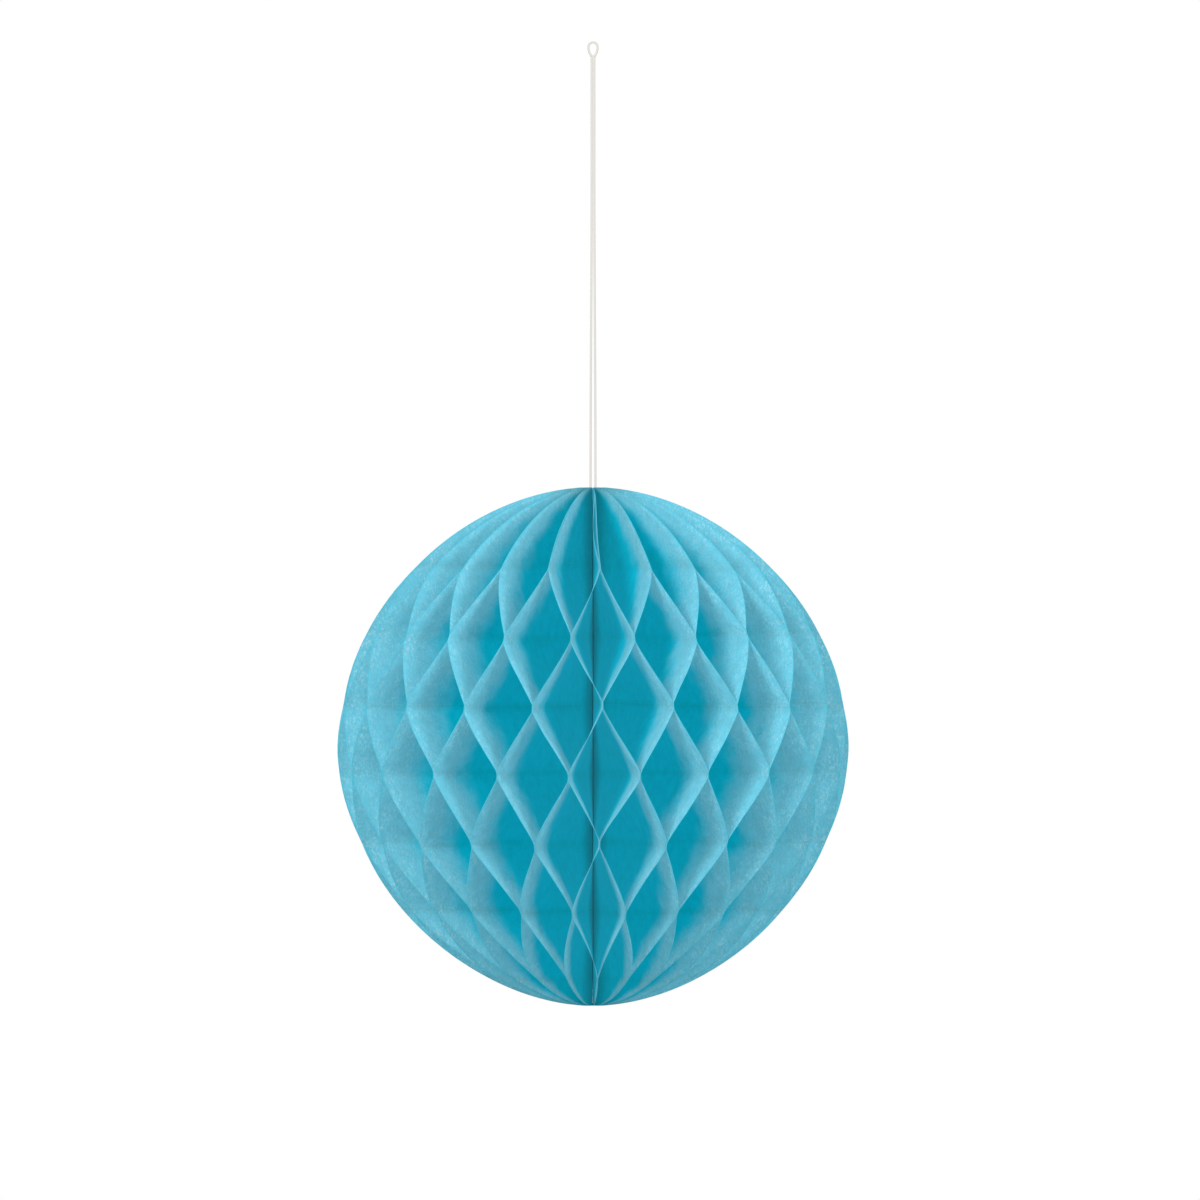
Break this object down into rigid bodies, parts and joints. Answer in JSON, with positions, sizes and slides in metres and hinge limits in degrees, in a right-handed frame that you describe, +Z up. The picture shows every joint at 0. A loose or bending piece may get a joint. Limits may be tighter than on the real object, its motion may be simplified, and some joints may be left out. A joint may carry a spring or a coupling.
{
  "type": "paper honeycomb ball",
  "caption": "Hanging tissue-paper ball of glued zigzag leaves that opens from flat half discs into a round honeycomb, on a string loop.",
  "frame": {"origin": "where a hook bears inside the top of the string loop", "axes": "+Z up along the string and spine, -Y the front, +X the right; the seam of the two cover boards is at +Y"},
  "size_m": [0.2, 0.1995, 0.3775],
  "materials": {
    "tissue": "matte tissue",
    "card": "matte",
    "tape": "double-sided tissue tape",
    "spine": "stitched paper edges",
    "cotton": "twisted cotton"
  },
  "bodies": {
    "spine": {"spine_core": "spine", "top_knot": "cotton", "bottom_knot": "cotton", "hang_string": "cotton"},
    "cover_right": {"cover_board_right": "card", "leaf_right_22": "tissue", "tape_tab_top": "tape", "tape_tab_middle": "tape", "tape_tab_bottom": "tape"},
    "cover_left": {"cover_board_left": "card", "leaf_left_22": "tissue"},
    "leaf_body_right_01": {"leaf_right_01": "tissue"},
    "leaf_body_right_02": {"leaf_right_02": "tissue"},
    "leaf_body_right_03": {"leaf_right_03": "tissue"},
    "leaf_body_right_04": {"leaf_right_04": "tissue"},
    "leaf_body_right_05": {"leaf_right_05": "tissue"},
    "leaf_body_right_06": {"leaf_right_06": "tissue"},
    "leaf_body_right_07": {"leaf_right_07": "tissue"},
    "leaf_body_right_08": {"leaf_right_08": "tissue"},
    "leaf_body_right_09": {"leaf_right_09": "tissue"},
    "leaf_body_right_10": {"leaf_right_10": "tissue"},
    "leaf_body_right_11": {"leaf_right_11": "tissue"},
    "leaf_body_right_12": {"leaf_right_12": "tissue"},
    "leaf_body_right_13": {"leaf_right_13": "tissue"},
    "leaf_body_right_14": {"leaf_right_14": "tissue"},
    "leaf_body_right_15": {"leaf_right_15": "tissue"},
    "leaf_body_right_16": {"leaf_right_16": "tissue"},
    "leaf_body_right_17": {"leaf_right_17": "tissue"},
    "leaf_body_right_18": {"leaf_right_18": "tissue"},
    "leaf_body_right_19": {"leaf_right_19": "tissue"},
    "leaf_body_right_20": {"leaf_right_20": "tissue"},
    "leaf_body_right_21": {"leaf_right_21": "tissue"},
    "leaf_body_left_01": {"leaf_left_01": "tissue"},
    "leaf_body_left_02": {"leaf_left_02": "tissue"},
    "leaf_body_left_03": {"leaf_left_03": "tissue"},
    "leaf_body_left_04": {"leaf_left_04": "tissue"},
    "leaf_body_left_05": {"leaf_left_05": "tissue"},
    "leaf_body_left_06": {"leaf_left_06": "tissue"},
    "leaf_body_left_07": {"leaf_left_07": "tissue"},
    "leaf_body_left_08": {"leaf_left_08": "tissue"},
    "leaf_body_left_09": {"leaf_left_09": "tissue"},
    "leaf_body_left_10": {"leaf_left_10": "tissue"},
    "leaf_body_left_11": {"leaf_left_11": "tissue"},
    "leaf_body_left_12": {"leaf_left_12": "tissue"},
    "leaf_body_left_13": {"leaf_left_13": "tissue"},
    "leaf_body_left_14": {"leaf_left_14": "tissue"},
    "leaf_body_left_15": {"leaf_left_15": "tissue"},
    "leaf_body_left_16": {"leaf_left_16": "tissue"},
    "leaf_body_left_17": {"leaf_left_17": "tissue"},
    "leaf_body_left_18": {"leaf_left_18": "tissue"},
    "leaf_body_left_19": {"leaf_left_19": "tissue"},
    "leaf_body_left_20": {"leaf_left_20": "tissue"},
    "leaf_body_left_21": {"leaf_left_21": "tissue"}
  },
  "joints": [
    {"name": "fold_right", "type": "hinge", "parent": "spine", "child": "cover_right", "pos_m": [0, 0, -0.2752], "axis": [0, 0, -1], "range_deg": [0, 174], "deforming": ["leaf_right_01", "leaf_right_02", "leaf_right_03", "leaf_right_04", "leaf_right_05", "leaf_right_06", "leaf_right_07", "leaf_right_08", "leaf_right_09", "leaf_right_10", "leaf_right_11", "leaf_right_12", "leaf_right_13", "leaf_right_14", "leaf_right_15", "leaf_right_16", "leaf_right_17", "leaf_right_18", "leaf_right_19", "leaf_right_20", "leaf_right_21", "leaf_right_22", "leaf_left_01", "leaf_left_02", "leaf_left_03", "leaf_left_04", "leaf_left_05", "leaf_left_06", "leaf_left_07", "leaf_left_08", "leaf_left_09", "leaf_left_10", "leaf_left_11", "leaf_left_12", "leaf_left_13", "leaf_left_14", "leaf_left_15", "leaf_left_16", "leaf_left_17", "leaf_left_18", "leaf_left_19", "leaf_left_20", "leaf_left_21", "leaf_left_22"]},
    {"name": "fold_left", "type": "hinge", "parent": "spine", "child": "cover_left", "pos_m": [0, 0, -0.2752], "axis": [0, 0, 1], "range_deg": [0, 174]},
    {"name": "turn_right_01", "type": "hinge", "parent": "spine", "child": "leaf_body_right_01", "pos_m": [0, 0, -0.2752], "axis": [0, 0, -1], "range_deg": [0, 8.11]},
    {"name": "turn_right_02", "type": "hinge", "parent": "spine", "child": "leaf_body_right_02", "pos_m": [0, 0, -0.2752], "axis": [0, 0, -1], "range_deg": [0, 16.02]},
    {"name": "turn_right_03", "type": "hinge", "parent": "spine", "child": "leaf_body_right_03", "pos_m": [0, 0, -0.2752], "axis": [0, 0, -1], "range_deg": [0, 23.93]},
    {"name": "turn_right_04", "type": "hinge", "parent": "spine", "child": "leaf_body_right_04", "pos_m": [0, 0, -0.2752], "axis": [0, 0, -1], "range_deg": [0, 31.84]},
    {"name": "turn_right_05", "type": "hinge", "parent": "spine", "child": "leaf_body_right_05", "pos_m": [0, 0, -0.2752], "axis": [0, 0, -1], "range_deg": [0, 39.74]},
    {"name": "turn_right_06", "type": "hinge", "parent": "spine", "child": "leaf_body_right_06", "pos_m": [0, 0, -0.2752], "axis": [0, 0, -1], "range_deg": [0, 47.66]},
    {"name": "turn_right_07", "type": "hinge", "parent": "spine", "child": "leaf_body_right_07", "pos_m": [0, 0, -0.2752], "axis": [0, 0, -1], "range_deg": [0, 55.56]},
    {"name": "turn_right_08", "type": "hinge", "parent": "spine", "child": "leaf_body_right_08", "pos_m": [0, 0, -0.2752], "axis": [0, 0, -1], "range_deg": [0, 63.47]},
    {"name": "turn_right_09", "type": "hinge", "parent": "spine", "child": "leaf_body_right_09", "pos_m": [0, 0, -0.2752], "axis": [0, 0, -1], "range_deg": [0, 71.38]},
    {"name": "turn_right_10", "type": "hinge", "parent": "spine", "child": "leaf_body_right_10", "pos_m": [0, 0, -0.2752], "axis": [0, 0, -1], "range_deg": [0, 79.29]},
    {"name": "turn_right_11", "type": "hinge", "parent": "spine", "child": "leaf_body_right_11", "pos_m": [0, 0, -0.2752], "axis": [0, 0, -1], "range_deg": [0, 87.2]},
    {"name": "turn_right_12", "type": "hinge", "parent": "spine", "child": "leaf_body_right_12", "pos_m": [0, 0, -0.2752], "axis": [0, 0, -1], "range_deg": [0, 95.11]},
    {"name": "turn_right_13", "type": "hinge", "parent": "spine", "child": "leaf_body_right_13", "pos_m": [0, 0, -0.2752], "axis": [0, 0, -1], "range_deg": [0, 103.02]},
    {"name": "turn_right_14", "type": "hinge", "parent": "spine", "child": "leaf_body_right_14", "pos_m": [0, 0, -0.2752], "axis": [0, 0, -1], "range_deg": [0, 110.93]},
    {"name": "turn_right_15", "type": "hinge", "parent": "spine", "child": "leaf_body_right_15", "pos_m": [0, 0, -0.2752], "axis": [0, 0, -1], "range_deg": [0, 118.84]},
    {"name": "turn_right_16", "type": "hinge", "parent": "spine", "child": "leaf_body_right_16", "pos_m": [0, 0, -0.2752], "axis": [0, 0, -1], "range_deg": [0, 126.75]},
    {"name": "turn_right_17", "type": "hinge", "parent": "spine", "child": "leaf_body_right_17", "pos_m": [0, 0, -0.2752], "axis": [0, 0, -1], "range_deg": [0, 134.66]},
    {"name": "turn_right_18", "type": "hinge", "parent": "spine", "child": "leaf_body_right_18", "pos_m": [0, 0, -0.2752], "axis": [0, 0, -1], "range_deg": [0, 142.56]},
    {"name": "turn_right_19", "type": "hinge", "parent": "spine", "child": "leaf_body_right_19", "pos_m": [0, 0, -0.2752], "axis": [0, 0, -1], "range_deg": [0, 150.47]},
    {"name": "turn_right_20", "type": "hinge", "parent": "spine", "child": "leaf_body_right_20", "pos_m": [0, 0, -0.2752], "axis": [0, 0, -1], "range_deg": [0, 158.38]},
    {"name": "turn_right_21", "type": "hinge", "parent": "spine", "child": "leaf_body_right_21", "pos_m": [0, 0, -0.2752], "axis": [0, 0, -1], "range_deg": [0, 166.29]},
    {"name": "turn_left_01", "type": "hinge", "parent": "spine", "child": "leaf_body_left_01", "pos_m": [0, 0, -0.2752], "axis": [0, 0, 1], "range_deg": [0, 8.11]},
    {"name": "turn_left_02", "type": "hinge", "parent": "spine", "child": "leaf_body_left_02", "pos_m": [0, 0, -0.2752], "axis": [0, 0, 1], "range_deg": [0, 16.02]},
    {"name": "turn_left_03", "type": "hinge", "parent": "spine", "child": "leaf_body_left_03", "pos_m": [0, 0, -0.2752], "axis": [0, 0, 1], "range_deg": [0, 23.93]},
    {"name": "turn_left_04", "type": "hinge", "parent": "spine", "child": "leaf_body_left_04", "pos_m": [0, 0, -0.2752], "axis": [0, 0, 1], "range_deg": [0, 31.84]},
    {"name": "turn_left_05", "type": "hinge", "parent": "spine", "child": "leaf_body_left_05", "pos_m": [0, 0, -0.2752], "axis": [0, 0, 1], "range_deg": [0, 39.74]},
    {"name": "turn_left_06", "type": "hinge", "parent": "spine", "child": "leaf_body_left_06", "pos_m": [0, 0, -0.2752], "axis": [0, 0, 1], "range_deg": [0, 47.66]},
    {"name": "turn_left_07", "type": "hinge", "parent": "spine", "child": "leaf_body_left_07", "pos_m": [0, 0, -0.2752], "axis": [0, 0, 1], "range_deg": [0, 55.56]},
    {"name": "turn_left_08", "type": "hinge", "parent": "spine", "child": "leaf_body_left_08", "pos_m": [0, 0, -0.2752], "axis": [0, 0, 1], "range_deg": [0, 63.47]},
    {"name": "turn_left_09", "type": "hinge", "parent": "spine", "child": "leaf_body_left_09", "pos_m": [0, 0, -0.2752], "axis": [0, 0, 1], "range_deg": [0, 71.38]},
    {"name": "turn_left_10", "type": "hinge", "parent": "spine", "child": "leaf_body_left_10", "pos_m": [0, 0, -0.2752], "axis": [0, 0, 1], "range_deg": [0, 79.29]},
    {"name": "turn_left_11", "type": "hinge", "parent": "spine", "child": "leaf_body_left_11", "pos_m": [0, 0, -0.2752], "axis": [0, 0, 1], "range_deg": [0, 87.2]},
    {"name": "turn_left_12", "type": "hinge", "parent": "spine", "child": "leaf_body_left_12", "pos_m": [0, 0, -0.2752], "axis": [0, 0, 1], "range_deg": [0, 95.11]},
    {"name": "turn_left_13", "type": "hinge", "parent": "spine", "child": "leaf_body_left_13", "pos_m": [0, 0, -0.2752], "axis": [0, 0, 1], "range_deg": [0, 103.02]},
    {"name": "turn_left_14", "type": "hinge", "parent": "spine", "child": "leaf_body_left_14", "pos_m": [0, 0, -0.2752], "axis": [0, 0, 1], "range_deg": [0, 110.93]},
    {"name": "turn_left_15", "type": "hinge", "parent": "spine", "child": "leaf_body_left_15", "pos_m": [0, 0, -0.2752], "axis": [0, 0, 1], "range_deg": [0, 118.84]},
    {"name": "turn_left_16", "type": "hinge", "parent": "spine", "child": "leaf_body_left_16", "pos_m": [0, 0, -0.2752], "axis": [0, 0, 1], "range_deg": [0, 126.75]},
    {"name": "turn_left_17", "type": "hinge", "parent": "spine", "child": "leaf_body_left_17", "pos_m": [0, 0, -0.2752], "axis": [0, 0, 1], "range_deg": [0, 134.66]},
    {"name": "turn_left_18", "type": "hinge", "parent": "spine", "child": "leaf_body_left_18", "pos_m": [0, 0, -0.2752], "axis": [0, 0, 1], "range_deg": [0, 142.56]},
    {"name": "turn_left_19", "type": "hinge", "parent": "spine", "child": "leaf_body_left_19", "pos_m": [0, 0, -0.2752], "axis": [0, 0, 1], "range_deg": [0, 150.47]},
    {"name": "turn_left_20", "type": "hinge", "parent": "spine", "child": "leaf_body_left_20", "pos_m": [0, 0, -0.2752], "axis": [0, 0, 1], "range_deg": [0, 158.38]},
    {"name": "turn_left_21", "type": "hinge", "parent": "spine", "child": "leaf_body_left_21", "pos_m": [0, 0, -0.2752], "axis": [0, 0, 1], "range_deg": [0, 166.29]}
  ],
  "couplings": [
    {"joint": "fold_left", "follows": "fold_right", "ratio": 1},
    {"joint": "turn_right_01", "follows": "fold_right", "ratio": 0.045455},
    {"joint": "turn_right_02", "follows": "fold_right", "ratio": 0.090909},
    {"joint": "turn_right_03", "follows": "fold_right", "ratio": 0.13636},
    {"joint": "turn_right_04", "follows": "fold_right", "ratio": 0.18182},
    {"joint": "turn_right_05", "follows": "fold_right", "ratio": 0.22727},
    {"joint": "turn_right_06", "follows": "fold_right", "ratio": 0.27273},
    {"joint": "turn_right_07", "follows": "fold_right", "ratio": 0.31818},
    {"joint": "turn_right_08", "follows": "fold_right", "ratio": 0.36364},
    {"joint": "turn_right_09", "follows": "fold_right", "ratio": 0.40909},
    {"joint": "turn_right_10", "follows": "fold_right", "ratio": 0.45454},
    {"joint": "turn_right_11", "follows": "fold_right", "ratio": 0.5},
    {"joint": "turn_right_12", "follows": "fold_right", "ratio": 0.54546},
    {"joint": "turn_right_13", "follows": "fold_right", "ratio": 0.59091},
    {"joint": "turn_right_14", "follows": "fold_right", "ratio": 0.63636},
    {"joint": "turn_right_15", "follows": "fold_right", "ratio": 0.68182},
    {"joint": "turn_right_16", "follows": "fold_right", "ratio": 0.72727},
    {"joint": "turn_right_17", "follows": "fold_right", "ratio": 0.77273},
    {"joint": "turn_right_18", "follows": "fold_right", "ratio": 0.81818},
    {"joint": "turn_right_19", "follows": "fold_right", "ratio": 0.86364},
    {"joint": "turn_right_20", "follows": "fold_right", "ratio": 0.90909},
    {"joint": "turn_right_21", "follows": "fold_right", "ratio": 0.95454},
    {"joint": "turn_left_01", "follows": "fold_right", "ratio": 0.045455},
    {"joint": "turn_left_02", "follows": "fold_right", "ratio": 0.090909},
    {"joint": "turn_left_03", "follows": "fold_right", "ratio": 0.13636},
    {"joint": "turn_left_04", "follows": "fold_right", "ratio": 0.18182},
    {"joint": "turn_left_05", "follows": "fold_right", "ratio": 0.22727},
    {"joint": "turn_left_06", "follows": "fold_right", "ratio": 0.27273},
    {"joint": "turn_left_07", "follows": "fold_right", "ratio": 0.31818},
    {"joint": "turn_left_08", "follows": "fold_right", "ratio": 0.36364},
    {"joint": "turn_left_09", "follows": "fold_right", "ratio": 0.40909},
    {"joint": "turn_left_10", "follows": "fold_right", "ratio": 0.45454},
    {"joint": "turn_left_11", "follows": "fold_right", "ratio": 0.5},
    {"joint": "turn_left_12", "follows": "fold_right", "ratio": 0.54546},
    {"joint": "turn_left_13", "follows": "fold_right", "ratio": 0.59091},
    {"joint": "turn_left_14", "follows": "fold_right", "ratio": 0.63636},
    {"joint": "turn_left_15", "follows": "fold_right", "ratio": 0.68182},
    {"joint": "turn_left_16", "follows": "fold_right", "ratio": 0.72727},
    {"joint": "turn_left_17", "follows": "fold_right", "ratio": 0.77273},
    {"joint": "turn_left_18", "follows": "fold_right", "ratio": 0.81818},
    {"joint": "turn_left_19", "follows": "fold_right", "ratio": 0.86364},
    {"joint": "turn_left_20", "follows": "fold_right", "ratio": 0.90909},
    {"joint": "turn_left_21", "follows": "fold_right", "ratio": 0.95454}
  ]
}
